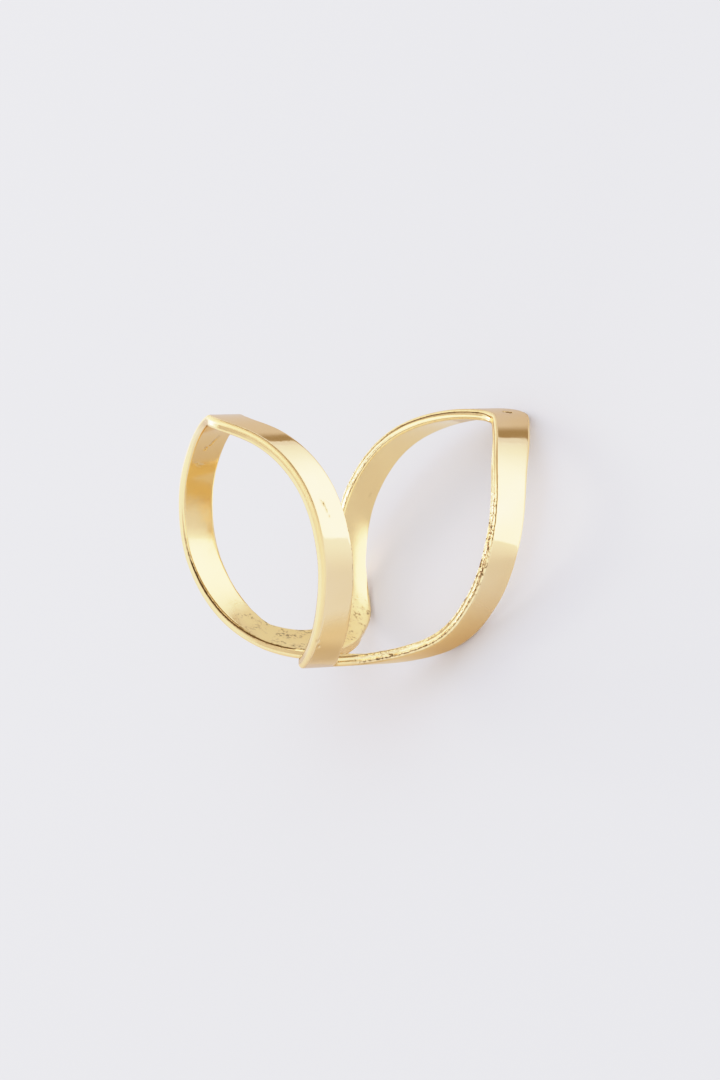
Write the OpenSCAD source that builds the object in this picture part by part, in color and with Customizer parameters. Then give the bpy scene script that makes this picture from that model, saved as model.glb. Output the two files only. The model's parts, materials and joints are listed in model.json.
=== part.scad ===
/* [Finger] */
// Inner diameter of the hollow for the finger
finger_d = 17.3; // [15:0.1:21]

/* [Band] */
// Width of the band, square to its run
band_w = 2.9; // [2:0.1:3.6]
// Thickness of the band
band_t = 0.85; // [0.7:0.05:1.3]
// How far the front pair of arms lies outside the back pair where they cross
lap = 0.5; // [0.3:0.05:0.8]

/* [Open frame] */
// Half the distance between the two peaks, along the finger
peak_reach = 13.6; // [9:0.1:16]
// How far the middle of the peaks lies to the right of the crossing
lean = 2.8; // [0:0.1:3.5]
// Turn of the crossing toward the front, from straight below the peaks
cross_turn = 5; // [-8:1:8]
// Rounding of each peak, as a part of half a turn
peak_round = 0.015; // [0.005:0.005:0.04]
// Distance from the crossing back to the edge of the web between the back arms
web_reach = 3.8; // [3:0.1:5]
// Radius of the web's hollow edge
web_r = 4.3; // [3.8:0.1:8]

/* [Rest] */
// Slope of the finger's axis where the ring lies on its right loop
rest_slope = 62.2; // [40:0.1:75]
// Turn about the finger's axis that sets both sides of that loop down together
rest_turn = 1.8; // [-6:0.1:6]

/* [Hidden] */
// One row for each station along an arm, from the peak to the crossing
// [part of half a turn, part of peak_reach, part of lean]
STATIONS = [
    [0.00, 1.000, 1.00],
    [0.12, 0.835, 0.93],
    [0.27, 0.686, 0.74],
    [0.45, 0.588, 0.62],
    [0.62, 0.514, 0.59],
    [0.78, 0.412, 0.61],
    [0.90, 0.224, 0.32],
    [1.00, 0.000, 0.00]
];
TURN = 0;
REACH = 1;
LEAN = 2;
LAST = len(STATIONS) - 1;
// Sections along each arm, and how far an arm runs on past the crossing
SECTIONS = 30;
past_crossing = 0.1;
// Each arm reaches this far over the middle, where the other arm covers it
over_middle = 0.3;

inner_r = finger_d / 2;
outer_r = inner_r + band_t;
cut_clear = 1.5;
curve_fn = 96;
NEAR = 1;
FAR = -1;
LEFT = -1;
RIGHT = 1;

// Smooth curve through the rows of the table
function row_slope(i, col) =
    let (a = max(i - 1, 0), b = min(i + 1, LAST))
    (STATIONS[b][col] - STATIONS[a][col]) / (STATIONS[b][TURN] - STATIONS[a][TURN]);
function row_before(q, i = 0) =
    i + 1 < LAST && STATIONS[i + 1][TURN] <= q ? row_before(q, i + 1) : i;
function blend(q, col) =
    let (
        i = row_before(q),
        step = STATIONS[i + 1][TURN] - STATIONS[i][TURN],
        t = (q - STATIONS[i][TURN]) / step,
        a = STATIONS[i][col],
        b = STATIONS[i + 1][col],
        sa = row_slope(i, col) * step,
        sb = row_slope(i + 1, col) * step
    )
    q > 1
        ? (q - 1) * row_slope(LAST, col)
        : a * (2 * t ^ 3 - 3 * t ^ 2 + 1) + sa * (t ^ 3 - 2 * t ^ 2 + t)
            + b * (3 * t ^ 2 - 2 * t ^ 3) + sb * (t ^ 3 - t ^ 2);

// The peak is rounded by never letting the run start at zero
function rounded(q) = sqrt(q ^ 2 + peak_round ^ 2);
function half_turn(side) = 180 - side * cross_turn;
function run_x(q, loop) =
    peak_reach * blend(rounded(q), REACH) + loop * lean * blend(rounded(q), LEAN);

// Half the width along the finger, which grows where the band runs aslant
function run_slope(q, side, loop) =
    let (h = 0.004, arc = 2 * h * half_turn(side) * PI / 180 * (inner_r + band_t / 2))
    (run_x(q + h, loop) - run_x(max(q - h, 0), loop)) / (q < h ? arc / 2 : arc);
function half_w(q, side, loop) = band_w / 2 * sqrt(1 + run_slope(q, side, loop) ^ 2);

function outward_x(q, side, loop) =
    max(run_x(q, loop) + half_w(q, side, loop), 0.02);
function inward_x(q, side, loop) =
    max(run_x(q, loop) - half_w(q, side, loop), -min(over_middle, outward_x(q, side, loop)));

// The front pair is bent round its own axis, a little larger and lower
function layer(side) = side == NEAR ? lap / 2 : 0;

// Point on the wall at turn u from the peak, x along the finger, r from the axis
function on_wall(x, u, r, side, loop) =
    [loop * x, -side * r * sin(u), r * cos(u) - layer(side)];

function section(q, side, loop) =
    let (
        u = q * half_turn(side),
        r0 = inner_r - cut_clear,
        r1 = outer_r + cut_clear,
        a = inward_x(q, side, loop),
        b = outward_x(q, side, loop)
    )
    [
        on_wall(a, u, r0, side, loop),
        on_wall(b, u, r0, side, loop),
        on_wall(b, u, r1, side, loop),
        on_wall(a, u, r1, side, loop)
    ];

// The web fills the crotch behind the crossing, up to a hollow round edge
web_half = 3.6;
web_middle = 1.25;
web_sections = 12;
turn_per_mm = 180 / (PI * inner_r);
function web_edge(x) =
    half_turn(FAR) - turn_per_mm * (web_reach + web_r - sqrt(web_r ^ 2 - x ^ 2));
function web_section(t) =
    let (
        x = web_middle + t * web_half,
        near_edge = web_edge(t * web_half),
        far_edge = near_edge + 1 + turn_per_mm * web_reach * (1 - t ^ 2),
        r0 = inner_r - cut_clear,
        r1 = outer_r + cut_clear
    )
    [
        on_wall(x, near_edge, r0, FAR, RIGHT),
        on_wall(x, far_edge, r0, FAR, RIGHT),
        on_wall(x, far_edge, r1, FAR, RIGHT),
        on_wall(x, near_edge, r1, FAR, RIGHT)
    ];

// Closed solid through a list of four-cornered sections
module loft(sections, flip) {
    n = len(sections);
    points = [for (s = sections) each s];
    sides = [
        for (i = [0 : n - 2], k = [0 : 3])
        let (a = 4 * i + k, b = 4 * i + (k + 1) % 4)
        each [[a, b, b + 4], [a, b + 4, a + 4]]
    ];
    caps = [[3, 2, 1], [3, 1, 0], [4 * n - 4, 4 * n - 3, 4 * n - 2], [4 * n - 4, 4 * n - 2, 4 * n - 1]];
    faces = concat(sides, caps);
    polyhedron(
        points,
        flip ? faces : [for (f = faces) [f[2], f[1], f[0]]],
        convexity = 6
    );
}

module arm_cut(side, loop) {
    q_end = 1 + past_crossing;
    loft(
        [for (i = [0 : SECTIONS]) section(q_end * i / SECTIONS, side, loop)],
        side * loop < 0
    );
}

module web_cut() {
    loft([for (j = [0 : web_sections]) web_section(2 * j / web_sections - 1)], false);
}

module tube(side) {
    length = 4 * peak_reach;
    translate([0, 0, -layer(side)])
        rotate([0, 90, 0])
        difference() {
            cylinder(h = length, r = outer_r + layer(side), center = true, $fn = curve_fn);
            cylinder(h = length + 2, r = inner_r + layer(side), center = true, $fn = curve_fn);
        }
}

module pair(side) {
    intersection() {
        tube(side);
        union() {
            arm_cut(side, LEFT);
            arm_cut(side, RIGHT);
            if (side == FAR) web_cut();
        }
    }
}

// Where the ring comes to lie: its right loop is turned down and set on z = 0
function laid(p) =
    let (
        y = p.y * cos(rest_turn) - p.z * sin(rest_turn),
        z = p.y * sin(rest_turn) + p.z * cos(rest_turn)
    )
    [
        p.x * cos(rest_slope) + z * sin(rest_slope),
        y,
        z * cos(rest_slope) - p.x * sin(rest_slope)
    ];
function rim_points(q, side, loop) =
    [
        for (
            x = [inward_x(q, side, loop), outward_x(q, side, loop)],
            r = [inner_r, outer_r] + [layer(side), layer(side)]
        )
        laid(on_wall(x, q * half_turn(side), r, side, loop))
    ];
RIM = [
    for (side = [NEAR, FAR], loop = [LEFT, RIGHT], i = [0 : SECTIONS])
    each rim_points((1 + past_crossing) * i / SECTIONS, side, loop)
];
rim_x = [for (p = RIM) p.x];
rim_y = [for (p = RIM) p.y];
rim_z = [for (p = RIM) p.z];
rest_shift = [
    -(min(rim_x) + max(rim_x)) / 2,
    -(min(rim_y) + max(rim_y)) / 2,
    -min(rim_z)
];

module band() {
    color("gold")
        translate(rest_shift)
        rotate([0, rest_slope, 0])
        rotate([rest_turn, 0, 0]) {
            pair(NEAR);
            pair(FAR);
        }
}

band();
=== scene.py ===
"""A pointed, open crossover ring in polished gold plate, lying on its right loop on a pale table."""

import json
import math
from functools import partial

import bpy
import numpy as np
from bpy.props import FloatProperty, PointerProperty, StringProperty
from mathutils import Matrix, Vector

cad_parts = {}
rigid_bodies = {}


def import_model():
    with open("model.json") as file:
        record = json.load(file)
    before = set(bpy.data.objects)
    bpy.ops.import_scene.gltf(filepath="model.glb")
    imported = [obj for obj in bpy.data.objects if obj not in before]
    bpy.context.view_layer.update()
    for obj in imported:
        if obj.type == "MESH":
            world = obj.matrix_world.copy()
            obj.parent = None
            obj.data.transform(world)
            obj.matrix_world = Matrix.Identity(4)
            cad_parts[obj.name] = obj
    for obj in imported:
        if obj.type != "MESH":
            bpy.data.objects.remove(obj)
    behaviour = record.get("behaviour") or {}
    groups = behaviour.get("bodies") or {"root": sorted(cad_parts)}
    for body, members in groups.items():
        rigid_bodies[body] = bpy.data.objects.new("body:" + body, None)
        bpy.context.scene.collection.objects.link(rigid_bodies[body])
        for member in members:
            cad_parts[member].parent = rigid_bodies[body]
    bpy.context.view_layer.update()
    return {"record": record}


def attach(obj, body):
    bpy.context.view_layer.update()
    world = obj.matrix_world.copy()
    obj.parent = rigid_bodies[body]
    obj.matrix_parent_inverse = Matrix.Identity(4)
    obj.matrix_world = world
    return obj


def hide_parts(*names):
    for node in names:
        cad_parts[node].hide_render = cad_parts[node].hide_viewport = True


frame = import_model()
BODY = "root"

bl_info = {
    "name": "Open Crossover Ring",
    "version": (1, 0, 0),
    "blender": (4, 5, 0),
    "location": "View3D > Sidebar > Ring",
    "description": "A pointed open crossover ring in polished gold plate, with its table, light and camera",
    "category": "Add Mesh",
}

MM = 0.001

# The finger's axis, as the frame states it: the ring is modelled round X and laid down at the end. Its turn
# about that axis sets both sides of its right loop down together
HOLLOW = frame["record"]["mounts"][0]
FINGER_R = HOLLOW["dims"]["r_mm"] * MM
AXIS_POINT = Vector(HOLLOW["pos_m"])
REST_SLOPE = math.atan2(HOLLOW["axis"][2], -HOLLOW["axis"][0])
REST_TURN = math.radians(1.8)

# Each pair of arms has one to the left loop and one to the right. The near pair lies outside the far pair
NEAR, FAR = 1, -1
LEFT, RIGHT = -1, 1

# How an arm runs from its peak to the crossing, one row for each station:
# part of half a turn, part of the peak's reach, part of the lean
STATIONS = (
    (0.00, 1.000, 1.00),
    (0.12, 0.835, 0.93),
    (0.27, 0.686, 0.74),
    (0.45, 0.588, 0.62),
    (0.62, 0.514, 0.59),
    (0.78, 0.412, 0.61),
    (0.90, 0.224, 0.32),
    (1.00, 0.000, 0.00),
)
TURN, REACH, LEAN = 0, 1, 2

# Parts of half a turn: how far an arm runs on past the crossing, under the other arms, and how the peak is
# rounded at its outer corner, at its notch and in its slope
PAST_CROSSING = {LEFT: 0.07, RIGHT: 0.055}
PEAK_ROUND = {LEFT: 0.030, RIGHT: 0.029}
NOTCH_ROUND = 0.028
SLOPE_ROUND = 0.03
# Each arm reaches this far over the middle, and the thin end of its tip keeps this width
OVER_MIDDLE = 0.3 * MM
LEAST_WIDTH = 0.05 * MM
# A soft edge takes at most this part of half the width
MOST_SOFT = 0.9
# The right loop's outer edges get crisper toward its peak, and the outer edges of the inward rims broader
# toward the crossing, each by this much, between two parts of half a turn
EDGE_CHANGE = 0.1 * MM
CRISPER_BETWEEN, BROADER_BETWEEN = (0.85, 0.6), (0.45, 0.75)

# The web between the far arms: half its width, how far its middle lies to the right, its depth at its ends,
# how much its hollow edge flattens toward them, and how far it lies under the arms' faces
WEB_HALF = 3.6 * MM
WEB_MIDDLE = 1.25 * MM
WEB_END = 0.15 * MM
WEB_FLATTER = 0.15
WEB_UNDER = 0.02 * MM

# A joined band has at least this many faces
FEWEST_FACES = 1000

# Points across each face, round each edge and across each rim of the band's section
ACROSS_FACE, ROUND_EDGE, ACROSS_RIM = 24, 4, 9
# Sections along an arm and along the web. An arm's stand closer together toward its peak
ARM_SECTIONS, WEB_SECTIONS = 270, 60
CLOSER_TO_PEAK = 0.25

# Dents and scratches of wear, in mm on the worn ring: both ends, half width, depth
MARKS = (
    ((-7.33, -8.19, 5.03), (-6.83, -8.76, 3.95), 0.17, 0.036),
    ((-5.82, -7.96, -5.87), (-5.70, -7.88, -5.99), 0.20, 0.04),
    ((-5.30, -7.49, -6.48), (-5.25, -7.44, -6.54), 0.20, 0.04),
    ((10.30, 8.60, 0.98), (10.25, 8.60, 0.80), 0.18, 0.03),
    ((15.66, -0.05, 9.49), (16.05, -0.36, 9.49), 0.24, 0.12),
    ((-7.36, 6.42, 5.82), (-7.32, 5.40, 6.78), 0.16, 0.04),
    ((-7.57, 6.68, 5.56), (-7.55, 6.74, 5.48), 0.20, 0.05),
    ((-7.54, 7.64, 4.08), (-6.90, 7.80, 3.88), 0.16, 0.03),
    ((3.71, -5.08, -8.17), (4.05, -5.20, -8.03), 0.22, 0.05),
)
# The depth in mm at which the mask of the marks is 1
MARK_DEPTH = 0.06

# Masks that the band's nodes leave on the mesh for the metal. The lines mask holds the painted dark
# reflection lines
MASKS = ("grain", "lines", "solder", "marks", "rim", "inner", "outer")


# Colours, nodes and objects

MATH, VECTOR, RANGE = "ShaderNodeMath", "ShaderNodeVectorMath", "ShaderNodeMapRange"
MIX, NOISE, NAMED = "ShaderNodeMix", "ShaderNodeTexNoise", "GeometryNodeInputNamedAttribute"
COMBINE, SEPARATE = "ShaderNodeCombineXYZ", "ShaderNodeSeparateXYZ"
# Math nodes whose operations come back often
PLUS, MINUS, TIMES, OVER = (MATH, "ADD"), (MATH, "SUBTRACT"), (MATH, "MULTIPLY"), (MATH, "DIVIDE")
TIMES_PLUS, SMALLER, LARGER = (MATH, "MULTIPLY_ADD"), (MATH, "MINIMUM"), (MATH, "MAXIMUM")
ABOVE, BELOW = (MATH, "GREATER_THAN"), (MATH, "LESS_THAN")
# A range that eases in and out
EASED = {"interpolation_type": "SMOOTHSTEP"}


def linear(hex_colour):
    """An sRGB hex colour as linear RGBA."""
    value = hex_colour.lstrip("#")
    parts = [int(value[i:i + 2], 16) / 255 for i in (0, 2, 4)]
    return tuple(c / 12.92 if c <= 0.04045 else ((c + 0.055) / 1.055) ** 2.4 for c in parts) + (1.0,)


def add(tree, kind, inputs=(), **settings):
    """A node with its settings. A kind may come with its operation. An input takes a value, a socket, or
    a node for that node's first output."""
    if isinstance(kind, tuple):
        kind, settings["operation"] = kind
    node = tree.nodes.new(kind)
    for key, value in settings.items():
        setattr(node, key, value)
    for key, value in inputs.items() if isinstance(inputs, dict) else enumerate(inputs):
        value = value.outputs[0] if isinstance(value, bpy.types.Node) else value
        if isinstance(value, bpy.types.NodeSocket):
            tree.links.new(value, node.inputs[key])
        else:
            node.inputs[key].default_value = value
    return node


def empty_material(name):
    """A new material, and the function that adds a node to its empty tree."""
    material = bpy.data.materials.new(name)
    material.use_nodes = True
    material.node_tree.nodes.clear()
    return material, partial(add, material.node_tree)


def between(node, value, one_end, other_end, **settings):
    """1 where a value lies past both pairs, each of which is where a change begins and where it ends."""
    past_one = node(RANGE, (value, *one_end), **settings)
    return node(TIMES, (past_one, node(RANGE, (value, *other_end), **settings)))


def put(name, data):
    """A new object in the scene."""
    obj = bpy.data.objects.new(name, data)
    bpy.context.scene.collection.objects.link(obj)
    return obj


# The band's blank

def along_stations(q, column):
    """A smooth curve through one column of the stations, and its slope, at each part q of the half turn."""
    turn = np.array([s[TURN] for s in STATIONS])
    value = np.array([s[column] for s in STATIONS])
    last = len(turn) - 1
    lo = np.maximum(np.arange(last + 1) - 1, 0)
    hi = np.minimum(np.arange(last + 1) + 1, last)
    slope = (value[hi] - value[lo]) / (turn[hi] - turn[lo])
    i = np.clip(np.searchsorted(turn, q, side="right") - 1, 0, last - 1)
    step = turn[i + 1] - turn[i]
    t = (q - turn[i]) / step
    a, b, sa, sb = value[i], value[i + 1], slope[i] * step, slope[i + 1] * step
    inside = (a * (2 * t**3 - 3 * t**2 + 1) + sa * (t**3 - 2 * t**2 + t)
              + b * (3 * t**2 - 2 * t**3) + sb * (t**3 - t**2))
    inside_slope = (a * (6 * t**2 - 6 * t) + sa * (3 * t**2 - 4 * t + 1)
                    + b * (6 * t - 6 * t**2) + sb * (3 * t**2 - 2 * t)) / step
    past = q > 1
    return np.where(past, (q - 1) * slope[last], inside), np.where(past, slope[last], inside_slope)


def kept_from_zero(q, soft):
    """q, held a little above zero at the peak, so the edge turns there in a small round."""
    return (q**3 + soft**3) ** (1 / 3)


def section_points():
    """Points round the band's section: place across, place through, and the soft edge's way in both."""
    quarter = [math.pi / 2 * k / ROUND_EDGE for k in range(1, ROUND_EDGE + 1)]
    face = np.linspace(-1, 1, ACROSS_FACE)
    rim = np.linspace(-1, 1, ACROSS_RIM)[1:]
    points = [(a, 1, 0, 1) for a in face]
    points += [(1, 1, math.sin(t), math.cos(t)) for t in quarter]
    points += [(1, -d, 1, 0) for d in rim]
    points += [(1, -1, math.cos(t), -math.sin(t)) for t in quarter]
    points += [(-a, -1, 0, -1) for a in face[1:]]
    points += [(-1, -1, -math.sin(t), -math.cos(t)) for t in quarter]
    points += [(-1, d, -1, 0) for d in rim]
    points += [(-1, 1, -math.cos(t), math.sin(t)) for t in quarter[:-1]]
    return np.array(points, float)


def strip_values(section, side, loop, web):
    """What the nodes need to know at each point of one strip, which is an arm or the web."""
    if web:
        rounds = np.linspace(-1, 1, WEB_SECTIONS)
    else:
        t = np.linspace(0, 1, ARM_SECTIONS)
        rounds = (1 + PAST_CROSSING[loop]) * (CLOSER_TO_PEAK * t**2 + (1 - CLOSER_TO_PEAK) * t)
    turn = np.repeat(rounds, len(section))
    tip, notch, sloped = (kept_from_zero(np.abs(turn), soft)
                          for soft in (PEAK_ROUND[loop], NOTCH_ROUND, SLOPE_ROUND))
    values = {"turn": turn, "side": turn * 0 + side, "loop": turn * 0 + loop, "web": turn * 0 + web}
    for name, column in (("reach", REACH), ("lean", LEAN)):
        values[name + "_out"] = along_stations(tip, column)[0]
        values[name + "_in"] = along_stations(notch, column)[0]
        values[name + "_slope"] = along_stations(sloped, column)[1]
    for k, name in enumerate(("across", "deep", "round_x", "round_r")):
        values[name] = np.tile(section[:, k], len(rounds))
    return values


def strip_faces(first, sections, around, flip):
    """The faces of one closed strip, whose points start at number first."""
    faces = []
    for row in range(sections - 1):
        for k in range(around):
            a, b = first + row * around + k, first + row * around + (k + 1) % around
            faces.append((a, b, b + around, a + around))
    last = first + (sections - 1) * around
    faces += [tuple(range(first, first + around))[::-1], tuple(range(last, last + around))]
    return faces if flip else [face[::-1] for face in faces]


def band_blank():
    """Four closed strips, one for each arm, and one for the web, all still without a shape."""
    section = section_points()
    strips = [(side, loop, False) for side in (NEAR, FAR) for loop in (LEFT, RIGHT)] + [(FAR, RIGHT, True)]
    values, faces, numbers = [], [], []
    for number, (side, loop, web) in enumerate(strips):
        strip = strip_values(section, side, loop, web)
        points = len(strip["turn"])
        flip = side * loop < 0 and not web
        faces += strip_faces(len(numbers), points // len(section), len(section), flip)
        numbers += [number] * points
        values.append(strip)
    mesh = bpy.data.meshes.new("band_blank")
    mesh.from_pydata([(0.0, 0.0, 0.0)] * len(numbers), [], faces)
    for name in values[0]:
        value = np.concatenate([strip[name] for strip in values]).astype(np.float32)
        mesh.attributes.new(name, "FLOAT", "POINT").data.foreach_set("value", value)
    mesh.attributes.new("strip", "INT", "POINT").data.foreach_set("value", numbers)
    return mesh


# The nodes that bend the blank

BLANK_VALUES = ("side", "loop", "turn", "web", "across", "deep", "round_x", "round_r",
                "reach_out", "lean_out", "reach_in", "lean_in", "reach_slope", "lean_slope")
SIZES = ("Finger Radius", "Band Width", "Band Thickness", "Peak Reach", "Lean", "Crossing Turn", "Lap",
         "Outer Edge Softness", "Inner Edge Softness", "Inward Edge Softness", "Rim Hollow", "Web Reach",
         "Web Radius", "Polish Waviness", "Casting Relief", "Solder Relief")


def edge_softness(node, source, blank):
    """How round each edge is: broad on the outside, less so next to the finger and along the inward rims."""
    outer = node(ABOVE, (blank["deep"], 0.0))
    on_arm = node(MINUS, (1.0, blank["web"]))
    on_right = node(RANGE, (blank["loop"], 0.0, 1.0))
    crisper = node(RANGE, (blank["turn"], *CRISPER_BETWEEN, 0.0, -EDGE_CHANGE))
    crisper = node(TIMES, (on_right, crisper))
    outer_soft = node(TIMES_PLUS, (crisper, on_arm, source["Outer Edge Softness"]))
    softness = node(MIX, {0: outer, 2: source["Inner Edge Softness"], 3: outer_soft})
    broader = node(RANGE, (blank["turn"], *BROADER_BETWEEN, 0.0, EDGE_CHANGE))
    broader = node(TIMES, (broader, on_arm))
    inward_soft = node(TIMES_PLUS, (broader, outer, source["Inward Edge Softness"]))
    inward_soft = node(SMALLER, (inward_soft, softness))
    inward = node(BELOW, (blank["across"], 0.0))
    return node(MIX, {0: inward, 2: softness, 3: inward_soft})


def arm_places(node, source, blank, middle_r, softness):
    """Places along the finger on an arm. Its half width there grows where the band runs aslant."""
    leant = node(TIMES, (blank["loop"], source["Lean"]))
    run = {}
    for edge in ("out", "in", "slope"):
        lean = node(TIMES, (leant, blank["lean_" + edge]))
        run[edge] = node(TIMES_PLUS, (source["Peak Reach"], blank["reach_" + edge], lean))
    slope = node(OVER, (run["slope"], node(TIMES, (math.pi, middle_r))))
    aslant = node(MATH, (node(TIMES_PLUS, (slope, slope, 1.0)),), operation="SQRT")
    half_band = node(TIMES, (source["Band Width"], 0.5))
    half_w = node(TIMES, (half_band, aslant))
    outward = node(PLUS, (run["out"], half_w))
    outward = node(LARGER, (outward, LEAST_WIDTH))
    least = node(SMALLER, (OVER_MIDDLE, outward))
    least = node(TIMES, (least, -1.0))
    inward = node(MINUS, (run["in"], half_w))
    inward = node(LARGER, (inward, least))
    middle = node(TIMES, (node(PLUS, (outward, inward)), 0.5))
    half = node(TIMES, (node(MINUS, (outward, inward)), 0.5))

    # The soft edges, and the shallow hollow along the inward rim
    most = node(TIMES, (half, MOST_SOFT))
    soft_x = node(TIMES, (softness, aslant))
    soft_x = node(SMALLER, (soft_x, most))
    flat = node(MINUS, (half, soft_x))
    flat = node(TIMES, (blank["across"], flat))
    on_rim = node(BELOW, (blank["across"], -0.99))
    bowl = node(TIMES, (blank["deep"], blank["deep"]))
    bowl = node(MINUS, (1.0, bowl))
    bowl = node(TIMES, (bowl, on_rim))
    bowl = node(TIMES_PLUS, (bowl, source["Rim Hollow"], flat))
    place = node(TIMES_PLUS, (blank["round_x"], soft_x, bowl))
    place = node(PLUS, (place, middle))
    return node(TIMES, (blank["loop"], place))


def web_places(node, source, blank, half_turn, softness):
    """Places along and round the finger on the web, which fills the back arms' crotch up to a hollow edge."""
    square = node(TIMES, (blank["turn"], blank["turn"]))
    along = node(TIMES, (blank["turn"], WEB_HALF))
    flatter = node(TIMES_PLUS, (square, -WEB_FLATTER, 1.0))
    chord = node(TIMES, (along, flatter))
    chord = node(TIMES, (chord, chord))
    rise = node(TIMES, (source["Web Radius"], source["Web Radius"]))
    rise = node(MATH, (node(MINUS, (rise, chord)),), operation="SQRT")
    hollow = node(MINUS, (source["Web Radius"], rise))
    edge = node(PLUS, (source["Web Reach"], hollow))
    fill = node(MINUS, (1.0, square))
    depth = node(TIMES_PLUS, (source["Web Reach"], fill, WEB_END))
    half = node(TIMES, (depth, 0.5))
    soft = node(SMALLER, (softness, node(TIMES, (half, MOST_SOFT))))
    back = node(MINUS, (half, edge))
    back = node(TIMES_PLUS, (blank["round_x"], soft, back))
    flat = node(MINUS, (half, soft))
    back = node(TIMES_PLUS, (blank["across"], flat, back))
    back = node(OVER, (back, source["Finger Radius"]))
    place = node(PLUS, (along, WEB_MIDDLE))
    return place, node(PLUS, (half_turn, back))


def bent_strips(node, source, half_lap):
    """The blank's strips, bent round the finger. The near pair lies outside the far one by the lap."""
    blank = {name: node(NAMED, {"Name": name}, data_type="FLOAT").outputs["Attribute"]
             for name in BLANK_VALUES}
    side, deep, web = blank["side"], blank["deep"], blank["web"]
    past_front = node(TIMES, (side, source["Crossing Turn"]))
    half_turn = node(MINUS, (math.pi, past_front))
    layer = node(TIMES, (half_lap, node(ABOVE, (side, 0.0))))
    half_t = node(TIMES, (source["Band Thickness"], 0.5))
    middle_r = node(PLUS, (source["Finger Radius"], half_t))
    softness = edge_softness(node, source, blank)
    arm_x = arm_places(node, source, blank, middle_r, softness)
    arm_u = node(TIMES, (blank["turn"], half_turn))
    web_x, web_u = web_places(node, source, blank, half_turn, softness)
    x = node(MIX, {0: web, 2: arm_x, 3: web_x})
    u = node(MIX, {0: web, 2: arm_u, 3: web_u})
    under = node(TIMES_PLUS, (web, WEB_UNDER, softness))
    through = node(TIMES, (deep, node(MINUS, (half_t, under))))
    through = node(TIMES_PLUS, (blank["round_r"], softness, through))
    r = node(PLUS, (node(PLUS, (middle_r, layer)), through))
    y = node(TIMES, (r, node(MATH, (u,), operation="SINE")))
    y = node(TIMES, (y, node(TIMES, (side, -1.0))))
    z = node(TIMES, (r, node(MATH, (u,), operation="COSINE")))
    z = node(MINUS, (z, layer))
    place = node(COMBINE, (x, y, z))
    return node("GeometryNodeSetPosition", {"Geometry": source["Geometry"], "Position": place})


# Where the finish changes on the worn ring. Each pair is where a change begins and where it ends.
# Outness is 1 where the metal faces straight away from the finger, and -1 where it faces the finger
OFF_OUTSIDE, OFF_INSIDE = (0.995, 0.9), (-0.97, -0.6)
OUTER_FACE, INNER_FACE = (0.05, 0.5), (-0.5, -0.9)
UNDER_EDGE, UNDER_FACE = (-0.1, -0.3), (-0.98, -0.8)
# How far the metal faces toward its own peak: at the second value it belongs to a rim that faces inward
FACES_INWARD = (0.1, -0.4)
# Distances from the middle, to either side
OFF_MIDDLE = (0.8 * MM, 2.5 * MM)
# Heights: the grain is worked off toward the peaks, and its pits stand closest half-way up the front arms
WORKED_OFF = (7.0 * MM, 4.0 * MM)
HALF_WAY_TOP, HALF_WAY_FOOT = (5.0 * MM, 3.5 * MM), (-2.5 * MM, -1.0 * MM)
# Heights: the painted dark reflection line along the back arms' outer edge gets stronger upward, the one
# next to the finger downward, and toward the peaks the painted lines stay whole
OUTER_LINE_UP, INNER_LINE_DOWN, LINE_WHOLE = (4.5 * MM, 7.0 * MM), (6.0 * MM, 2.0 * MM), (4.0 * MM, 7.0 * MM)
# Depths in the band, from the finger: both sides of the outer painted dark reflection line and of the inner
# one, and how much broader the outer one is half-way up
OUTER_LINE_FROM, OUTER_LINE_TO = (0.50 * MM, 0.58 * MM), (0.72 * MM, 0.64 * MM)
INNER_LINE_FROM, INNER_LINE_TO = (0.08 * MM, 0.16 * MM), (0.30 * MM, 0.22 * MM)
LINE_BROADER = 0.13 * MM
# The painted dark reflection line under the left loop: its height, and how far it lies to the left
LEFT_LOW, LEFT_SIDE = (-1.5 * MM, -4.0 * MM), (0.0, -1.0 * MM)
# The solder: its height, and how far it reaches to the left
SOLDER_LOW, SOLDER_LEFT = (-6.0 * MM, -7.6 * MM), (-5.0 * MM, -3.4 * MM)

# Spots per metre in each pattern: polishing waves 3 mm long, grit of 0.6 mm, clouds of 4 mm in the plate,
# specks of 0.25 mm, clumps of pits of 1.1 mm, smears of 1.7 mm, dimples of 0.9 mm, wheel lines 0.3 mm apart
WAVES, GRIT, CLOUDS, SPECKS = 0.33 / MM, 1.7 / MM, 0.25 / MM, 4.0 / MM
CLUMPS, SMEARS, DIMPLES, WHEEL_LINES = 0.9 / MM, 0.6 / MM, 1.1 / MM, 3.6 / MM
# How far the pattern of wheel lines moves on for each radian round the finger: little, so the lines are long
WHEEL_RUN = 0.7 * MM
WHEEL_LINE_HEIGHT, DIMPLE_HEIGHT, CRUMB_HEIGHT, DENT_DEPTH = 0.0014 * MM, 0.006 * MM, 0.025 * MM, 0.02 * MM
# Noise seldom gets above this, so what is left after taking it away only takes metal off
NOISE_TOP = 0.7
# How ragged a mark's outline is, and the part of its half width that its deepest part takes
MARK_RAGGED = 0.3 * MM
MARK_FLOOR = 0.15
# Points closer than this are one
MERGE_WITHIN = 0.002 * MM


def half_way_up(node, at):
    """1 half-way up the front arms, and 0 elsewhere."""
    return node(TIMES, (between(node, at[2], HALF_WAY_TOP, HALF_WAY_FOOT), node(BELOW, (at[1], 0.0))))


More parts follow.
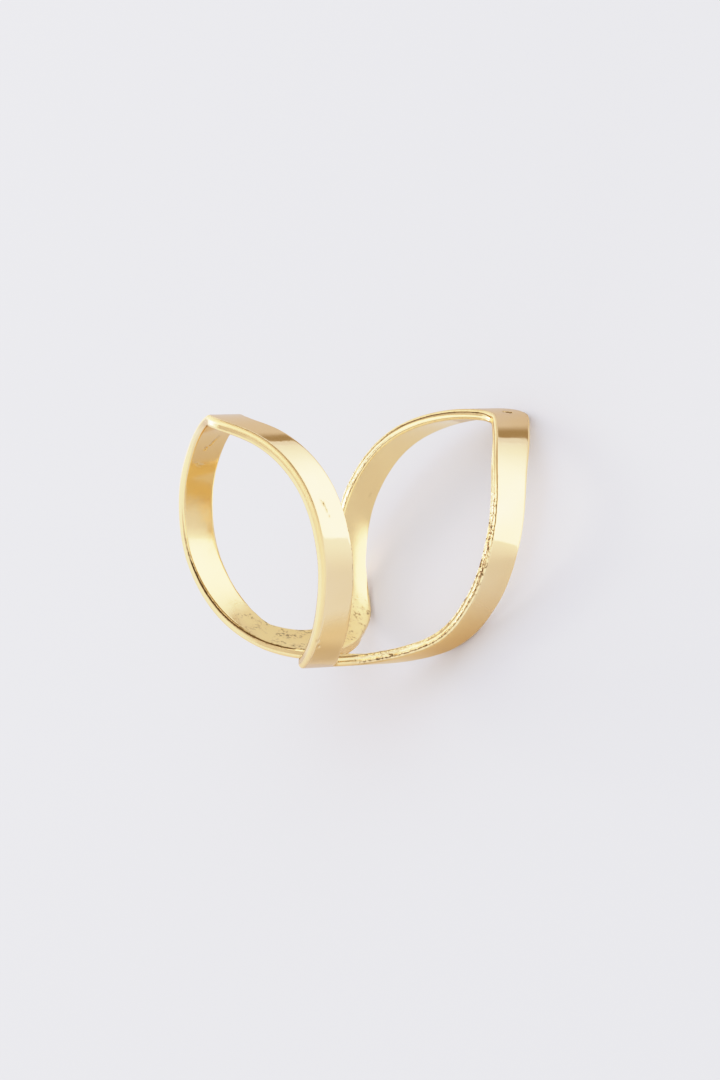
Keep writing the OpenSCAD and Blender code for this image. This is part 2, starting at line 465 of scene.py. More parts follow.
def painted_reflection_lines(node, source, at, outness, rim, inward_rim, half_lap):
    """Painted dark reflection lines: along both edges of the inward rims, and under the left loop."""
    front = node(BELOW, (at[1], 0.0))
    lapped = node(TIMES, (front, half_lap))
    from_axis = node(COMBINE, (0.0, at[1], node(PLUS, (at[2], lapped))))
    from_axis = node(VECTOR, (from_axis,), operation="LENGTH").outputs["Value"]
    depth = node(MINUS, (from_axis, source["Finger Radius"]))
    depth = node(MINUS, (depth, lapped))
    broader = node(TIMES_PLUS, (half_way_up(node, at), LINE_BROADER, depth))
    outer_line = node(TIMES, (node(RANGE, (broader, *OUTER_LINE_FROM)), node(RANGE, (depth, *OUTER_LINE_TO))))
    on_back = node(RANGE, (at[2], *OUTER_LINE_UP, 0.3, 1.0))
    outer_line = node(TIMES, (outer_line, node(MIX, {0: front, 2: on_back, 3: 1.0})))
    inner_line = between(node, depth, INNER_LINE_FROM, INNER_LINE_TO)
    inner_line = node(TIMES, (inner_line, node(RANGE, (at[2], *INNER_LINE_DOWN, 0.3, 0.6))))
    both = node(LARGER, (outer_line, inner_line))
    both = node(TIMES, (both, rim))
    under = between(node, outness, UNDER_EDGE, UNDER_FACE, **EASED)
    left = node(TIMES, (node(RANGE, (at[2], *LEFT_LOW)), node(RANGE, (at[0], *LEFT_SIDE))))
    under = node(TIMES, (under, left))
    return node(MIX, {0: inward_rim, 2: under, 3: both})


def wear_marks(node, spot):
    """The dents and scratches of wear, with a ragged outline."""
    marks = 0.0
    ragged = node(PLUS, (node(NOISE, {"Vector": spot, "Scale": SPECKS}), -0.5))
    for start, end, half_width, depth in MARKS:
        start, run = Vector(start) * MM, (Vector(end) - Vector(start)) * MM
        from_start = node(VECTOR, (spot, start), operation="SUBTRACT")
        along = node(VECTOR, (from_start, run / run.length_squared), operation="DOT_PRODUCT").outputs["Value"]
        along = node(PLUS, (along, 0.0), use_clamp=True)
        nearest = node(VECTOR, {0: run, "Scale": along}, operation="SCALE")
        away = node(VECTOR, (from_start, nearest), operation="DISTANCE").outputs["Value"]
        away = node(TIMES_PLUS, (ragged, MARK_RAGGED, away))
        edge, floor = half_width * MM, MARK_FLOOR * half_width * MM
        mark = node(RANGE, (away, edge, floor, 0.0, depth / MARK_DEPTH), **EASED)
        marks = node(PLUS, (marks, mark))
    return marks


def finish_masks(node, source, spot, normal, half_lap):
    """Where each finish goes: the casting grain, painted dark reflection lines, solder, marks of wear, rims
    and faces.
    """
    at = node(SEPARATE, (spot,)).outputs
    spoke = node(VECTOR, (node(COMBINE, (0.0, at[1], at[2])),), operation="NORMALIZE")
    outness = node(VECTOR, (spoke, normal), operation="DOT_PRODUCT").outputs["Value"]
    rim = between(node, outness, OFF_OUTSIDE, OFF_INSIDE, **EASED)
    to_right = node(SEPARATE, (normal,)).outputs[0]
    to_peak = node(TIMES, (to_right, node(MATH, (at[0],), operation="SIGN")))
    inward_rim = node(RANGE, (to_peak, *FACES_INWARD), **EASED)
    off_middle = node(MATH, (at[0],), operation="ABSOLUTE")
    off_middle = node(RANGE, (off_middle, *OFF_MIDDLE), **EASED)
    grain = node(TIMES, (node(TIMES, (rim, inward_rim)), off_middle))
    grain = node(TIMES, (grain, node(RANGE, (at[2], *WORKED_OFF, 0.2, 1.0))))
    # Painted dark reflection lines along the rims' edges and under the left loop
    lines = painted_reflection_lines(node, source, at, outness, rim, inward_rim, half_lap)
    inner = node(RANGE, (outness, *INNER_FACE), **EASED)
    low = node(RANGE, (at[2], *SOLDER_LOW), **EASED)
    from_left = node(RANGE, (at[0], *SOLDER_LEFT), **EASED)
    solder = node(TIMES, (node(TIMES, (inner, low)), from_left))
    return {
        "grain": grain,
        "lines": node(TIMES, (lines, off_middle)),
        "solder": solder,
        "marks": wear_marks(node, spot),
        "rim": rim,
        "inner": inner,
        "outer": node(RANGE, (outness, *OUTER_FACE), **EASED),
    }


def relief_height(node, source, spot, masks):
    """The relief, which only takes metal away: slow waves of the polishing wheel, grain, pits and wear."""
    waves = node(NOISE, {"Vector": spot, "Scale": WAVES, "Detail": 1.0, "Roughness": 0.4})
    waves = node(MINUS, (waves, NOISE_TOP))
    height = node(TIMES, (waves, source["Polish Waviness"]))
    for mask, relief, roughness in (("grain", "Casting Relief", 0.55), ("solder", "Solder Relief", 0.6)):
        grit = node(NOISE, {"Vector": spot, "Scale": GRIT, "Detail": 4.0, "Roughness": roughness})
        grit = node(TIMES, (node(MINUS, (grit, NOISE_TOP)), masks[mask]))
        height = node(TIMES_PLUS, (grit, source[relief], height))
    return node(TIMES_PLUS, (masks["marks"], -MARK_DEPTH * MM, height))


def bend_nodes():
    """The tree that bends the strips round the finger, joins and finishes them, and lays the ring down."""
    tree = bpy.data.node_groups.new("Bend Band Round Finger", "GeometryNodeTree")
    sockets = [("Geometry", "Geometry"), *((name, "Float") for name in (*SIZES, "Rest Turn", "Rest Slope")),
               ("Rest Point", "Vector"), ("Metal", "Material")]
    for name, kind in sockets:
        tree.interface.new_socket(name, in_out="INPUT", socket_type="NodeSocket" + kind)
    tree.interface.new_socket("Geometry", in_out="OUTPUT", socket_type="NodeSocketGeometry")
    source = tree.nodes.new("NodeGroupInput").outputs
    node = partial(add, tree)
    half_lap = node(TIMES, (source["Lap"], 0.5))
    bent = bent_strips(node, source, half_lap)

    # Soldered together: the strips become one closed solid
    strip = node(NAMED, {"Name": "strip"}, data_type="INT").outputs["Attribute"]
    strips = node("GeometryNodeSplitToInstances", {"Geometry": bent, "Group ID": strip}, domain="POINT")
    band = node("GeometryNodeMeshBoolean", {"Mesh 2": strips}, operation="UNION", solver="MANIFOLD")
    band = node("GeometryNodeMergeByDistance", {"Geometry": band, "Distance": MERGE_WITHIN})

    # Finished: the masks stay on the mesh for the metal, and the relief is taken off along the normal
    spot = node("GeometryNodeInputPosition").outputs[0]
    normal = node("GeometryNodeInputNormal").outputs[0]
    masks = finish_masks(node, source, spot, normal, half_lap)
    relief = relief_height(node, source, spot, masks)
    for name in MASKS:
        band = node("GeometryNodeStoreNamedAttribute", {"Geometry": band, "Name": name, "Value": masks[name]},
                    data_type="FLOAT", domain="POINT")
    shift = node(VECTOR, {"Vector": normal, "Scale": relief}, operation="SCALE")
    band = node("GeometryNodeSetPosition", {"Geometry": band, "Offset": shift})

    # Laid down on the right loop
    turned = node(COMBINE, (source["Rest Turn"],))
    sloped = node(COMBINE, (0.0, source["Rest Slope"]))
    band = node("GeometryNodeTransform", {"Geometry": band, "Rotation": turned})
    band = node("GeometryNodeTransform",
                {"Geometry": band, "Rotation": sloped, "Translation": source["Rest Point"]})
    band = node("GeometryNodeRealizeInstances", {"Geometry": band})
    band = node("GeometryNodeSetMaterial", {"Geometry": band, "Material": source["Metal"]})
    node("NodeGroupOutput", {"Geometry": band})
    return tree


# The metal

def tinted(node, colour, share, tint):
    """The colour with a share of a hex tint mixed in."""
    return node(MIX, {0: share, 6: colour, 7: linear(tint)}, data_type="RGBA").outputs[2]


def plate_colour(node, settings, spot, at, masks, outward_rim, specks):
    """The plate's colour: slow clouds, painted shade on the outward rims, yellower solder, dark pits, painted
    dark reflection lines and dents.
    """
    clouds = node(NOISE, {"Vector": spot, "Scale": CLOUDS})
    colour = tinted(node, linear(settings.gold), masks["inner"], settings.inner_gold)
    colour = tinted(node, colour, node(RANGE, (clouds, 0.35, 0.7, 0.0, 0.45)), settings.deep_gold_and_painted_shade)
    # Painted shade: the outward rims are darkened toward the deep gold
    painted_rim_shade = node(TIMES, (outward_rim, 0.6))
    colour = tinted(node, colour, painted_rim_shade, settings.deep_gold_and_painted_shade)
    yellow = node(TIMES, (masks["solder"], 0.5))
    colour = tinted(node, colour, yellow, settings.solder)

    # Pits come in clumps, and stand closest half-way up the front arms
    clumps = node(NOISE, {"Vector": spot, "Scale": CLUMPS, "Detail": 1.0})
    clumps = node(RANGE, (clumps, 0.42, 0.65), **EASED)
    pitted = node(TIMES_PLUS, (masks["grain"], 0.55, masks["solder"]))
    pitted = node(TIMES, (pitted, clumps))
    pitted = node(TIMES_PLUS, (half_way_up(node, at), masks["grain"], pitted))
    pits = node(TIMES, (pitted, node(RANGE, (specks, 0.5, 0.64, 0.0, 0.7))))

    # The painted dark reflection lines break up into specks, but stay whole where they are strongest and
    # toward the peaks
    whole = node(RANGE, (specks, 0.46, 0.56, 0.2, 1.0))
    whole = node(LARGER, (whole, node(RANGE, (masks["lines"], 0.75, 0.9))))
    whole = node(LARGER, (whole, node(RANGE, (at[2], *LINE_WHOLE, 0.0, 0.75))))
    lines = node(TIMES, (masks["lines"], whole))
    pits = node(PLUS, (pits, lines), use_clamp=True)
    # The pits, and the painted dark reflection lines, take the pit colour
    colour = tinted(node, colour, pits, settings.pit_and_painted_line)
    dents = node(TIMES, (masks["marks"], 0.3), use_clamp=True)
    return tinted(node, colour, dents, settings.pit_and_painted_line)


def plate_haze(node, spot, masks, outward_rim, rough_metal):
    """The plate's roughness: clear on the faces, cloudier on the outward rims and next to the finger, and
    nearly matt on the soft corners of those rims and on the solder."""
    smears = node(NOISE, {"Vector": spot, "Scale": SMEARS, "Detail": 3.0, "Roughness": 0.6})
    haze = node(RANGE, (smears, 0.3, 0.7, 0.06, 0.11))
    soft_corner = node(TIMES, (outward_rim, masks["outer"]))
    for mask, share in ((outward_rim, 0.12), (soft_corner, 0.38), (masks["inner"], 0.06), (rough_metal, 0.02),
                        (masks["solder"], 0.38)):
        haze = node(TIMES_PLUS, (mask, share, haze))
    return haze


def plate_bumps(node, spot, at, masks, rough_metal, specks):
    """The finest relief: wheel lines, dimples, crumbs of grain and solder, and the depth of the marks."""
    # The real wheel lines, 0.02 mm apart, would be too fine to show, so these are 0.3 mm apart
    round_finger = node(MATH, (at[1], at[2]), operation="ARCTAN2")
    round_finger = node(TIMES, (round_finger, WHEEL_RUN))
    wheel = node(COMBINE, (round_finger, at[0]))
    wheel_lines = node(NOISE, {"Vector": wheel, "Scale": WHEEL_LINES, "Detail": 3.0, "Roughness": 0.65})
    height = node(TIMES, (wheel_lines, WHEEL_LINE_HEIGHT))
    dimples = node(NOISE, {"Vector": spot, "Scale": DIMPLES})
    height = node(TIMES_PLUS, (dimples, DIMPLE_HEIGHT, height))
    crumbs = node(TIMES_PLUS, (masks["solder"], -0.7, rough_metal), use_clamp=True)
    crumbs = node(TIMES, (crumbs, specks))
    height = node(TIMES_PLUS, (crumbs, CRUMB_HEIGHT, height))
    height = node(TIMES_PLUS, (masks["marks"], -DENT_DEPTH, height))
    return node("ShaderNodeBump", {"Strength": 1.0, "Distance": 1.0, "Height": height})


def gold_plate(settings):
    """Cast brass, buffed on a wheel and plated in pale yellow gold: a soft mirror with a slight haze and fine
    lines round the finger. The rims that face inward keep casting grain, and painted dark reflection lines
    run along their edges; the crossing keeps matt, pitted, yellower solder."""
    material, node = empty_material("gold_plate")
    spot = node("ShaderNodeTexCoord").outputs["Object"]
    # The place on the ring as it is worn, with the finger's axis along X
    rest = {"Vector": spot, "Location": AXIS_POINT, "Rotation": (REST_TURN, REST_SLOPE, 0.0)}
    worn = node("ShaderNodeMapping", rest, vector_type="TEXTURE")
    at = node(SEPARATE, (worn,)).outputs
    masks = {name: node("ShaderNodeAttribute", attribute_name=name).outputs["Fac"] for name in MASKS}
    outward_rim = node(MINUS, (masks["rim"], masks["grain"]), use_clamp=True)
    rough_metal = node(LARGER, (masks["grain"], masks["solder"]))
    specks = node(NOISE, {"Vector": spot, "Scale": SPECKS, "Detail": 3.0, "Roughness": 0.6})
    surface = node("ShaderNodeBsdfPrincipled", {
        "Base Color": plate_colour(node, settings, spot, at, masks, outward_rim, specks),
        "Metallic": 1.0,
        "Roughness": plate_haze(node, spot, masks, outward_rim, rough_metal),
        "Normal": plate_bumps(node, spot, at, masks, rough_metal, specks),
    })
    node("ShaderNodeOutputMaterial", {"Surface": surface})
    return material


# Settings

class RingSettings(bpy.types.PropertyGroup):
    """The ring's sizes, its reliefs and the colours of its plate"""

    finger_radius: FloatProperty(
        name="Finger Radius", description="Radius of the hollow for the finger",
        default=FINGER_R, min=7 * MM, max=11 * MM, unit="LENGTH")
    band_width: FloatProperty(
        name="Band Width", description="Width of the band, square to its run",
        default=2.9 * MM, min=2 * MM, max=3.6 * MM, unit="LENGTH")
    band_thickness: FloatProperty(
        name="Band Thickness", description="Thickness of the band",
        default=0.85 * MM, min=0.7 * MM, max=1.3 * MM, unit="LENGTH")
    peak_reach: FloatProperty(
        name="Peak Reach", description="Half the distance between the peaks, along the finger",
        default=13.6 * MM, min=9 * MM, max=16 * MM, unit="LENGTH")
    lean: FloatProperty(
        name="Lean", description="How far the middle of the peaks lies to the right of the crossing",
        default=2.8 * MM, min=0, max=3.5 * MM, unit="LENGTH")
    crossing_turn: FloatProperty(
        name="Crossing Turn", description="Turn of the crossing toward the front",
        default=math.radians(5), min=math.radians(-8), max=math.radians(8), subtype="ANGLE")
    lap: FloatProperty(
        name="Lap", description="How far the front arms lie outside the back arms where they cross",
        default=0.5 * MM, min=0.3 * MM, max=0.8 * MM, unit="LENGTH")
    outer_edge_softness: FloatProperty(
        name="Outer Edge Softness", description="Radius of the polished outer edges",
        default=0.36 * MM, min=0.02 * MM, max=0.4 * MM, unit="LENGTH")
    inward_edge_softness: FloatProperty(
        name="Inward Edge Softness", description="Radius of the edges of the rims that face inward",
        default=0.24 * MM, min=0.02 * MM, max=0.3 * MM, unit="LENGTH")
    inner_edge_softness: FloatProperty(
        name="Inner Edge Softness", description="Radius of the edges next to the finger",
        default=0.23 * MM, min=0.02 * MM, max=0.3 * MM, unit="LENGTH")
    rim_hollow: FloatProperty(
        name="Rim Hollow", description="Depth of the shallow hollow along the inward rims",
        default=0.05 * MM, min=0, max=0.2 * MM, unit="LENGTH")
    web_reach: FloatProperty(
        name="Web Reach", description="Distance from the crossing to the web's edge",
        default=3.8 * MM, min=3 * MM, max=5 * MM, unit="LENGTH")
    web_radius: FloatProperty(
        name="Web Radius", description="Radius of the web's hollow edge",
        default=4.3 * MM, min=3.8 * MM, max=8 * MM, unit="LENGTH")
    polish_waviness: FloatProperty(
        name="Polish Waviness", description="Height of the slow waves that hand polishing leaves",
        default=0.02 * MM, min=0, max=0.1 * MM, unit="LENGTH")
    casting_relief: FloatProperty(
        name="Casting Relief", description="Height of the casting grain on the inward rims",
        default=0.08 * MM, min=0, max=0.2 * MM, unit="LENGTH")
    solder_relief: FloatProperty(
        name="Solder Relief", description="Height of the pitted solder inside the crossing",
        default=0.1 * MM, min=0, max=0.2 * MM, unit="LENGTH")
    gold: StringProperty(name="Gold", description="Colour of the gold plate, as sRGB hex", default="#FCE1B2")
    inner_gold: StringProperty(
        name="Inner Gold", description="Colour of the plate on the faces next to the finger, as sRGB hex",
        default="#FCE1AA")
    # Deep Gold tints the plate's clouds, and also paints the shade on the outward rims
    deep_gold_and_painted_shade: StringProperty(
        name="Deep Gold", description="Colour where the plate is a little deeper, as sRGB hex",
        default="#F8D9A0")
    solder: StringProperty(
        name="Solder", description="Colour of the plated solder in the crossing, as sRGB hex",
        default="#FFF2C2")
    # The pit colour also paints the dark reflection lines along the rims and under the left loop
    pit_and_painted_line: StringProperty(
        name="Pit", description="Colour in the pits of grain, solder and marks, as sRGB hex",
        default="#573E20")


class StageSettings(bpy.types.PropertyGroup):
    """The colours and strengths of the table, the lights and the cards"""

    floor: StringProperty(name="Floor", description="Colour of the table, as sRGB hex", default="#D9D8DE")
    tent: StringProperty(
        name="Tent", description="Colour of the white tent round the stage, as sRGB hex", default="#FBFCFF")
    tent_strength: FloatProperty(
        name="Tent Strength", description="Brightness of the tent", default=1.35, min=0)
    key_power: FloatProperty(
        name="Key Power", description="Power of the large soft light", default=0.55, min=0, unit="POWER")
    sheet_glow: FloatProperty(
        name="Sheet Glow", description="Brightness of the lit sheets beside the ring", default=1.0, min=0)
    grey_card: StringProperty(
        name="Grey Card", description="Colour of the card behind the ring, as sRGB hex", default="#C4BAB4")
    # The warm card is painted shade on the table beside the ring, as the metal shows it
    warm_shade_card: StringProperty(
        name="Warm Card", description="Colour of the card under the near side of the ring, as sRGB hex",
        default="#D3C7B7")
    flag: StringProperty(
        name="Flag", description="Colour of the flags that darken the soft edges, as sRGB hex",
        default="#9A8C76")
    rim_flag: StringProperty(
        name="Rim Flag", description="Colour of the flag that dulls the rims on the left, as sRGB hex",
        default="#D6D0C6")
    # Dark Card also paints the darkest shade on the near card
    dark_card_and_shade: StringProperty(
        name="Dark Card", description="Colour of the card along the lit sheet, as sRGB hex",
        default="#93836A")


# The stage: a pale table in a white tent, and cards that only the polished metal shows

def polar(azimuth, elevation, distance):
    """A place at an azimuth and elevation in degrees, and a distance, from the ring."""
    a, e = math.radians(azimuth), math.radians(elevation)
    return distance * math.cos(a) * math.cos(e), distance * math.sin(a) * math.cos(e), distance * math.sin(e)


# Half the table's width, and the large soft light's place, target and size, in metres
TABLE_REACH = 3.0
KEY_PLACE, KEY_TARGET, KEY_SIZE = polar(103, 27, 0.5), (0, 0, 0.01), (0.2, 0.14)
# Places and distances of the cards, in mm from the middle of the ring as it lies
SKY = 350
FLAG_FACES = 8
SHEET_CORNER = (2.7, -9.5)
SHEET_OUTLINE = ((-60, -160), (300, -160), (300, 90), SHEET_CORNER, (-60, -60))
PATCH_MIDDLE = (-2.2, 6.3)
PATCH_OUTLINE = ((-7, -2), (5, -2), (5, 10), (-7, 10))
PATCH_EDGE = (3.9 * MM, 2.6 * MM)
TOP_OUTLINE = ((-260, -260), (260, -260), (260, 260), (-260, 260))
GREY_OUTLINE = ((-24, 0), (-9, 0), (-6, 11), (9, 11), (11, 1), (16, -4), (150, 51.5), (150, 110), (-24, 110))
# The near card paints the table's shade beside the ring, as the metal shows it: its middle, darkest spot and
# outline
NEAR_MIDDLE, NEAR_DARK = (-12, -5), (-18, -2)
NEAR_OUTLINE = ((-26, -20), (6, -20), (6, 3), (-26, 3))
SHEET_HEIGHT, NEAR_HEIGHT, GREY_HEIGHT = 0.6, 0.4, 0.3
NEAR_FADE, NEAR_DEEP = (13 * MM, 6 * MM), (7 * MM, 2 * MM)
LOW_AZIMUTHS, LOW_ELEVATIONS = (60, 106), (1, 14)
# Bearings in degrees from the lit sheet's corner: its right and left edge, the fade between them, the glow
# past its left edge, and the end of the grey card's darker part beside it
SHEET_RIGHT, SHEET_LEFT, SHEET_FADE, SHEET_GLOW = (23.0, 21.5), (-70.6, -69.0), (-16.0, 23.0), (-115.0, -70.0)
GREY_FADE = (28.0, 35.0)
# The colour of each lit card, and how bright it is beside the lit sheet
SHEET_WHITE, TOP_WHITE, LOW_WHITE = "#FFF9F0", "#FFFDF8", "#FFFFFF"
PATCH_GLOW, TOP_GLOW, LOW_GLOW = 1.2, 2.0, 2.6


def matt(name, colour):
    """Uncoated paper, dyed in one colour: an even matt face with hardly any shine."""
    material, node = empty_material(name)
    paper = {"Base Color": linear(colour), "Roughness": 0.9, "Specular IOR Level": 0.2}
    node("ShaderNodeOutputMaterial", {"Surface": node("ShaderNodeBsdfPrincipled", paper)})
    return material


def table(colour):
    """The pale paper table under the ring."""
    mesh = bpy.data.meshes.new("table")
    corners = [(x * TABLE_REACH, y * TABLE_REACH, 0) for x, y in ((-1, -1), (1, -1), (1, 1), (-1, 1))]
    mesh.from_pydata(corners, [], [(0, 1, 2, 3)])
    mesh.materials.append(matt("matt_paper", colour))
    put("table", mesh)


def white_tent(scene, settings):
    """The even white light all round."""
    world = bpy.data.worlds.new("studio")
    world.use_nodes = True
    background = world.node_tree.nodes["Background"]
    background.inputs["Color"].default_value = linear(settings.tent)
    background.inputs["Strength"].default_value = settings.tent_strength
    scene.world = world


def soft_light(name, place, target, size, power):
    """A soft area light at a place, facing a target."""
    light = bpy.data.lights.new(name, "AREA")
    light.shape = "RECTANGLE"
    light.size, light.size_y = size
    light.energy = power
    obj = put(name, light)
    obj.location = place
    obj.rotation_euler = (Vector(target) - Vector(place)).to_track_quat("-Z", "Y").to_euler()


def card(name, corners, material, faces=None):
    """A card with its corners in mm. Only the polished metal shows it."""
    mesh = bpy.data.meshes.new(name)
    mesh.from_pydata([Vector(c) * MM for c in corners], [], faces or [tuple(range(len(corners)))])
    mesh.materials.append(material)
    obj = put(name, mesh)
    obj.visible_camera = obj.visible_diffuse = obj.visible_shadow = False


def flag(name, colour, azimuths, elevations):
    """A dark curved flag in the sky. It draws the thin dark lines along the ring's soft edges."""
    first, last = azimuths
    corners = [polar(first + (last - first) * i / FLAG_FACES, elevation, SKY)
               for i in range(FLAG_FACES + 1) for elevation in elevations]
    faces = [(2 * i, 2 * i + 2, 2 * i + 3, 2 * i + 1) for i in range(FLAG_FACES)]
    card(name, corners, matt(name, colour), faces)


def lit_card(name, corners, colour, strength):
    """A card that glows evenly."""
    material, node = empty_material(name)
    lit = node("ShaderNodeEmission", {"Color": linear(colour), "Strength": strength})
    node("ShaderNodeOutputMaterial", {"Surface": lit})
    card(name, corners, material)


def shaded_card(name, outline, height, shades):
    """A level card whose shades are nodes: the given function adds them and returns the shader."""
    material, node = empty_material(name)
    spot = node("ShaderNodeTexCoord").outputs["Object"]
    node("ShaderNodeOutputMaterial", {"Surface": shades(node, spot)})
    card(name, [(x, y, height) for x, y in outline], material)


def bearing(node, spot):
    """The bearing of a place on the table from the lit sheet's corner, in degrees."""
    away = node(VECTOR, (spot, Vector((*SHEET_CORNER, 0)) * MM), operation="SUBTRACT")
    at = node(SEPARATE, (away,)).outputs
    angle = node(MATH, (at[1], at[0]), operation="ARCTAN2")
    return node(TIMES, (angle, 180 / math.pi))


def away_from(node, spot, middle):
    """The distance of a place on the table from the middle of a card's shade."""
    return node(VECTOR, (spot, Vector((*middle, 0)) * MM), operation="DISTANCE").outputs["Value"]


def glow(node, level):
    """A lit sheet that can be seen through where it doesn't glow."""
    lit = node("ShaderNodeEmission", {"Color": linear(SHEET_WHITE), "Strength": level})
    return node("ShaderNodeAddShader", (lit, node("ShaderNodeBsdfTransparent")))


def lit_sheet(strength):
    """A lit sheet on the table, with a clean edge and a faint glow past its left edge."""
    def shades(node, spot):
        turned = bearing(node, spot)
        fade = node(RANGE, (turned, *SHEET_FADE, 1.0, 0.12), **EASED)
        inside = node(TIMES, (between(node, turned, SHEET_RIGHT, SHEET_LEFT, **EASED), fade))
        skirt = node(RANGE, (turned, *SHEET_GLOW, 0.0, 0.3), **EASED)
        past = node(RANGE, (turned, *SHEET_LEFT[::-1]), **EASED)
        level = node(TIMES_PLUS, (skirt, past, inside))
        return glow(node, node(TIMES, (level, strength)))
    shaded_card("lit_sheet", SHEET_OUTLINE, SHEET_HEIGHT, shades)


def lit_patch(strength):
    """A soft patch of light inside the loop that lies on the table."""
    def shades(node, spot):
        away = away_from(node, spot, PATCH_MIDDLE)
        return glow(node, node(RANGE, (away, *PATCH_EDGE, 0.0, PATCH_GLOW * strength), **EASED))
    shaded_card("lit_patch", PATCH_OUTLINE, SHEET_HEIGHT, shades)


def low_light(strength):
    """A bright low strip behind the ring, for the white lines along the right rim."""
    (a, b), (foot, top) = LOW_AZIMUTHS, LOW_ELEVATIONS
    corners = [polar(*place, SKY) for place in ((a, foot), (b, foot), (b, top), (a, top))]
    lit_card("low_light", corners, LOW_WHITE, LOW_GLOW * strength)


def top_light(strength):
    """A soft panel overhead, for the white lines along the edges."""
    lit_card("top_light", [(x, y, SKY) for x, y in TOP_OUTLINE], TOP_WHITE, TOP_GLOW * strength)


def grey_card(settings):
    """A grey card behind the ring, darker along the lit sheet."""
    def shades(node, spot):
        clear = node(RANGE, (bearing(node, spot), *GREY_FADE), **EASED)
        tone = tinted(node, linear(settings.dark_card_and_shade), clear, settings.grey_card)
        return node("ShaderNodeBsdfDiffuse", {"Color": tone})
    shaded_card("grey_card", GREY_OUTLINE, GREY_HEIGHT, shades)


def near_card(settings):
    """A warm grey card of painted shade under the near side of the ring, darkest at one spot, that fades out
    at its edge.
    """
    def shades(node, spot):
        there = node(RANGE, (away_from(node, spot, NEAR_MIDDLE), *NEAR_FADE), **EASED)
        # Painted shadow, darkest at one spot beside the ring
        deep = node(RANGE, (away_from(node, spot, NEAR_DARK), *NEAR_DEEP, 0.0, 0.4), **EASED)
        tone = tinted(node, linear(settings.warm_shade_card), deep, settings.dark_card_and_shade)
        paper = node("ShaderNodeBsdfDiffuse", {"Color": tone})
        return node("ShaderNodeMixShader", (there, node("ShaderNodeBsdfTransparent"), paper))
    shaded_card("near_card", NEAR_OUTLINE, NEAR_HEIGHT, shades)


# How bright a light is shown, with a soft shoulder up to the white level
WHITE_LEVEL = 3.0
SHOULDER = ((0.05, 0.038), (0.15, 0.13), (0.3, 0.275), (0.5, 0.47),
            (0.8, 0.72), (1.0, 0.83), (1.5, 0.94), (2.2, 0.985))


def film_curve(scene):
    """A soft shoulder, so bright gold goes to cream and then to white, as on a photograph."""
    view = scene.view_settings
    view.view_transform = "Standard"
    view.use_curve_mapping = True
    mapping = view.curve_mapping
    mapping.use_clip = False
    mapping.white_level = (WHITE_LEVEL,) * 3
    curve = mapping.curves[3]
    curve.points[0].location = (0.0, 0.0)
    curve.points[1].location = (1.0, 1.0)
    for light, shown in SHOULDER:
        curve.points.new(light / WHITE_LEVEL, shown)
    mapping.update()


# The photograph's view of the ring as it is worn: turn round it, height, roll, and turn about the finger.
# The distance is in metres, the lens and sensor in mm, and the shift in parts of the sensor
VIEW_AZIMUTH, VIEW_ELEVATION, VIEW_ROLL, VIEW_TURN = (math.radians(a) for a in (53.035, 9.173, 4.572, 3.977))
VIEW_DISTANCE = 0.4094
VIEW_LENS = 178.6
VIEW_SENSOR = 36.0
VIEW_SHIFT = (0.0301, -0.0035)


def place_camera(scene):
    """The photograph's view, turned with the ring as it lies."""
    a, e = VIEW_AZIMUTH, VIEW_ELEVATION
    ahead = Vector((math.cos(a) * math.cos(e), math.sin(a) * math.cos(e), -math.sin(e)))
    level = Vector((math.sin(a), -math.cos(a), 0.0))
    above = level.cross(ahead)
    right = level * math.cos(VIEW_ROLL) + above * math.sin(VIEW_ROLL)
    up = above * math.cos(VIEW_ROLL) - level * math.sin(VIEW_ROLL)
    lay = (Matrix.Rotation(REST_SLOPE, 3, "Y") @ Matrix.Rotation(REST_TURN, 3, "X")
           @ Matrix.Rotation(-VIEW_TURN, 3, "X"))
    axes = Matrix((lay @ right, lay @ up, lay @ -ahead)).transposed()
    data = bpy.data.cameras.new("camera")
    data.lens = VIEW_LENS
    data.sensor_width = VIEW_SENSOR
    data.clip_start, data.clip_end = 0.01, 20.0
    data.shift_x, data.shift_y = VIEW_SHIFT
    camera = put("camera", data)
    camera.matrix_world = Matrix.Translation(AXIS_POINT - lay @ ahead * VIEW_DISTANCE) @ axes.to_4x4()
    scene.camera = camera


# Operators

class RING_OT_band(bpy.types.Operator):
    """Bend the band round the finger, solder its crossing and lay the ring down"""
    bl_idname = "ring.band"
    bl_label = "Band"

    def execute(self, context):
        settings = context.scene.ring_settings
        work = put("band_blank", band_blank())
        tree = bend_nodes()
        bend = work.modifiers.new("bend", "NODES")
        bend.node_group = tree
        inputs = {name: getattr(settings, name.lower().replace(" ", "_")) for name in SIZES}
        inputs.update({"Rest Turn": REST_TURN, "Rest Slope": REST_SLOPE, "Rest Point": AXIS_POINT,
                       "Metal": gold_plate(settings)})
        for item in tree.interface.items_tree:
            if item.in_out == "INPUT" and item.name in inputs:
                bend[item.identifier] = inputs[item.name]
        graph = context.evaluated_depsgraph_get()
        mesh = bpy.data.meshes.new_from_object(work.evaluated_get(graph), depsgraph=graph)
        if len(mesh.polygons) < FEWEST_FACES:
            raise RuntimeError("the band's strips didn't join into one solid")
        bpy.data.objects.remove(work)
        mesh.name = "ring_band"
        spare = [a.name for a in mesh.attributes
                 if a.data_type in ("FLOAT", "INT") and a.name not in MASKS and not a.name.startswith(".")]
        for name in spare:
            mesh.attributes.remove(mesh.attributes[name])
        mesh.shade_smooth()
        ring = put("ring_band", mesh)
        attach(ring, BODY)
        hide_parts("band")
        return {"FINISHED"}


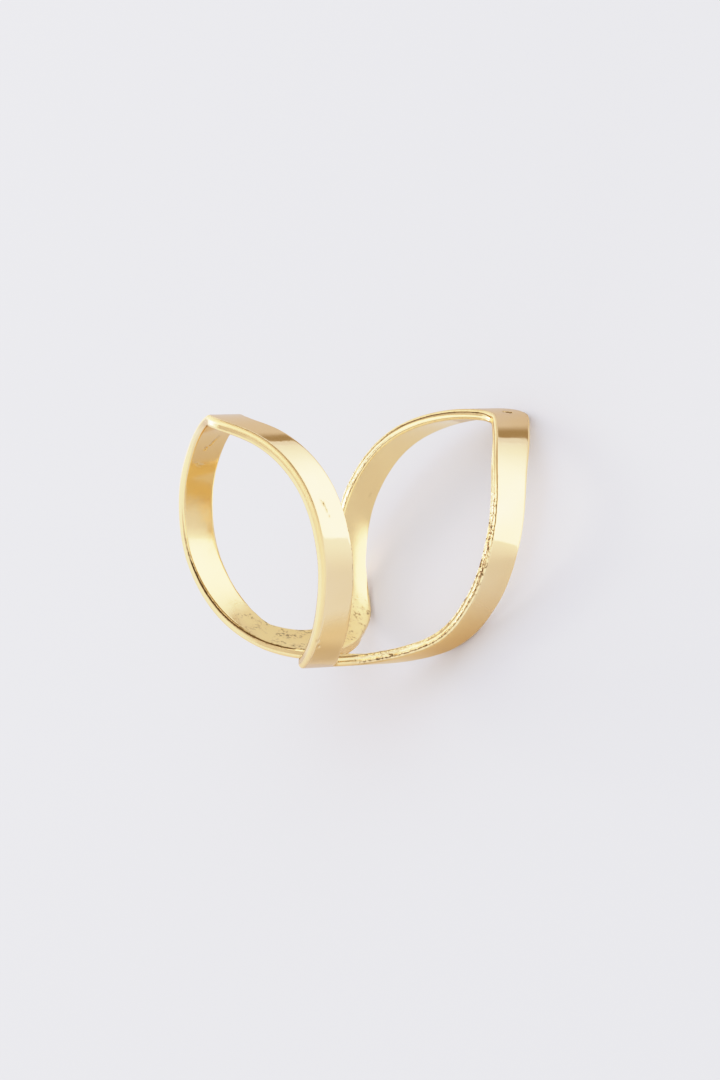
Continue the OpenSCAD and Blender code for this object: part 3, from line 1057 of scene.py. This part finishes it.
class RING_OT_stage(bpy.types.Operator):
    """Lay the pale table, set the soft light and place the camera"""
    bl_idname = "ring.stage"
    bl_label = "Stage"

    def execute(self, context):
        settings = context.scene.stage_settings
        scene = context.scene
        table(settings.floor)
        white_tent(scene, settings)
        soft_light("key", KEY_PLACE, KEY_TARGET, KEY_SIZE, settings.key_power)
        lit_sheet(settings.sheet_glow)
        lit_patch(settings.sheet_glow)
        grey_card(settings)
        near_card(settings)
        flag("flag", settings.flag, azimuths=(-85, 42), elevations=(8, 48))
        flag("rim_flag", settings.rim_flag, azimuths=(140, 245), elevations=(36, 74))
        flag("small_flag", settings.flag, azimuths=(74, 98), elevations=(15, 32))
        low_light(settings.sheet_glow)
        top_light(settings.sheet_glow)
        film_curve(scene)
        place_camera(scene)
        return {"FINISHED"}


# The panel, and the run

class RING_PT_panel(bpy.types.Panel):
    """Lists the ring's sizes and the steps that build it"""
    bl_idname = "RING_PT_panel"
    bl_label = "Open Crossover Ring"
    bl_space_type = "VIEW_3D"
    bl_region_type = "UI"
    bl_category = "Ring"

    def draw(self, context):
        scene = context.scene
        for settings, step in ((scene.ring_settings, "ring.band"), (scene.stage_settings, "ring.stage")):
            column = self.layout.column(align=True)
            for name in settings.bl_rna.properties.keys():
                if name not in ("rna_type", "name"):
                    column.prop(settings, name)
            column.operator(step)


CLASSES = (RingSettings, StageSettings, RING_OT_band, RING_OT_stage, RING_PT_panel)


def register():
    for cls in CLASSES:
        bpy.utils.register_class(cls)
    bpy.types.Scene.ring_settings = PointerProperty(type=RingSettings)
    bpy.types.Scene.stage_settings = PointerProperty(type=StageSettings)


def unregister():
    del bpy.types.Scene.stage_settings
    del bpy.types.Scene.ring_settings
    for cls in reversed(CLASSES):
        bpy.utils.unregister_class(cls)


def main():
    """Builds the ring and its stage."""
    for leftover in [o for o in bpy.data.objects if o.name in ("Cube", "Light", "Camera")]:
        bpy.data.objects.remove(leftover)
    register()
    bpy.ops.ring.band()
    bpy.ops.ring.stage()


if __name__ == "__main__":
    main()
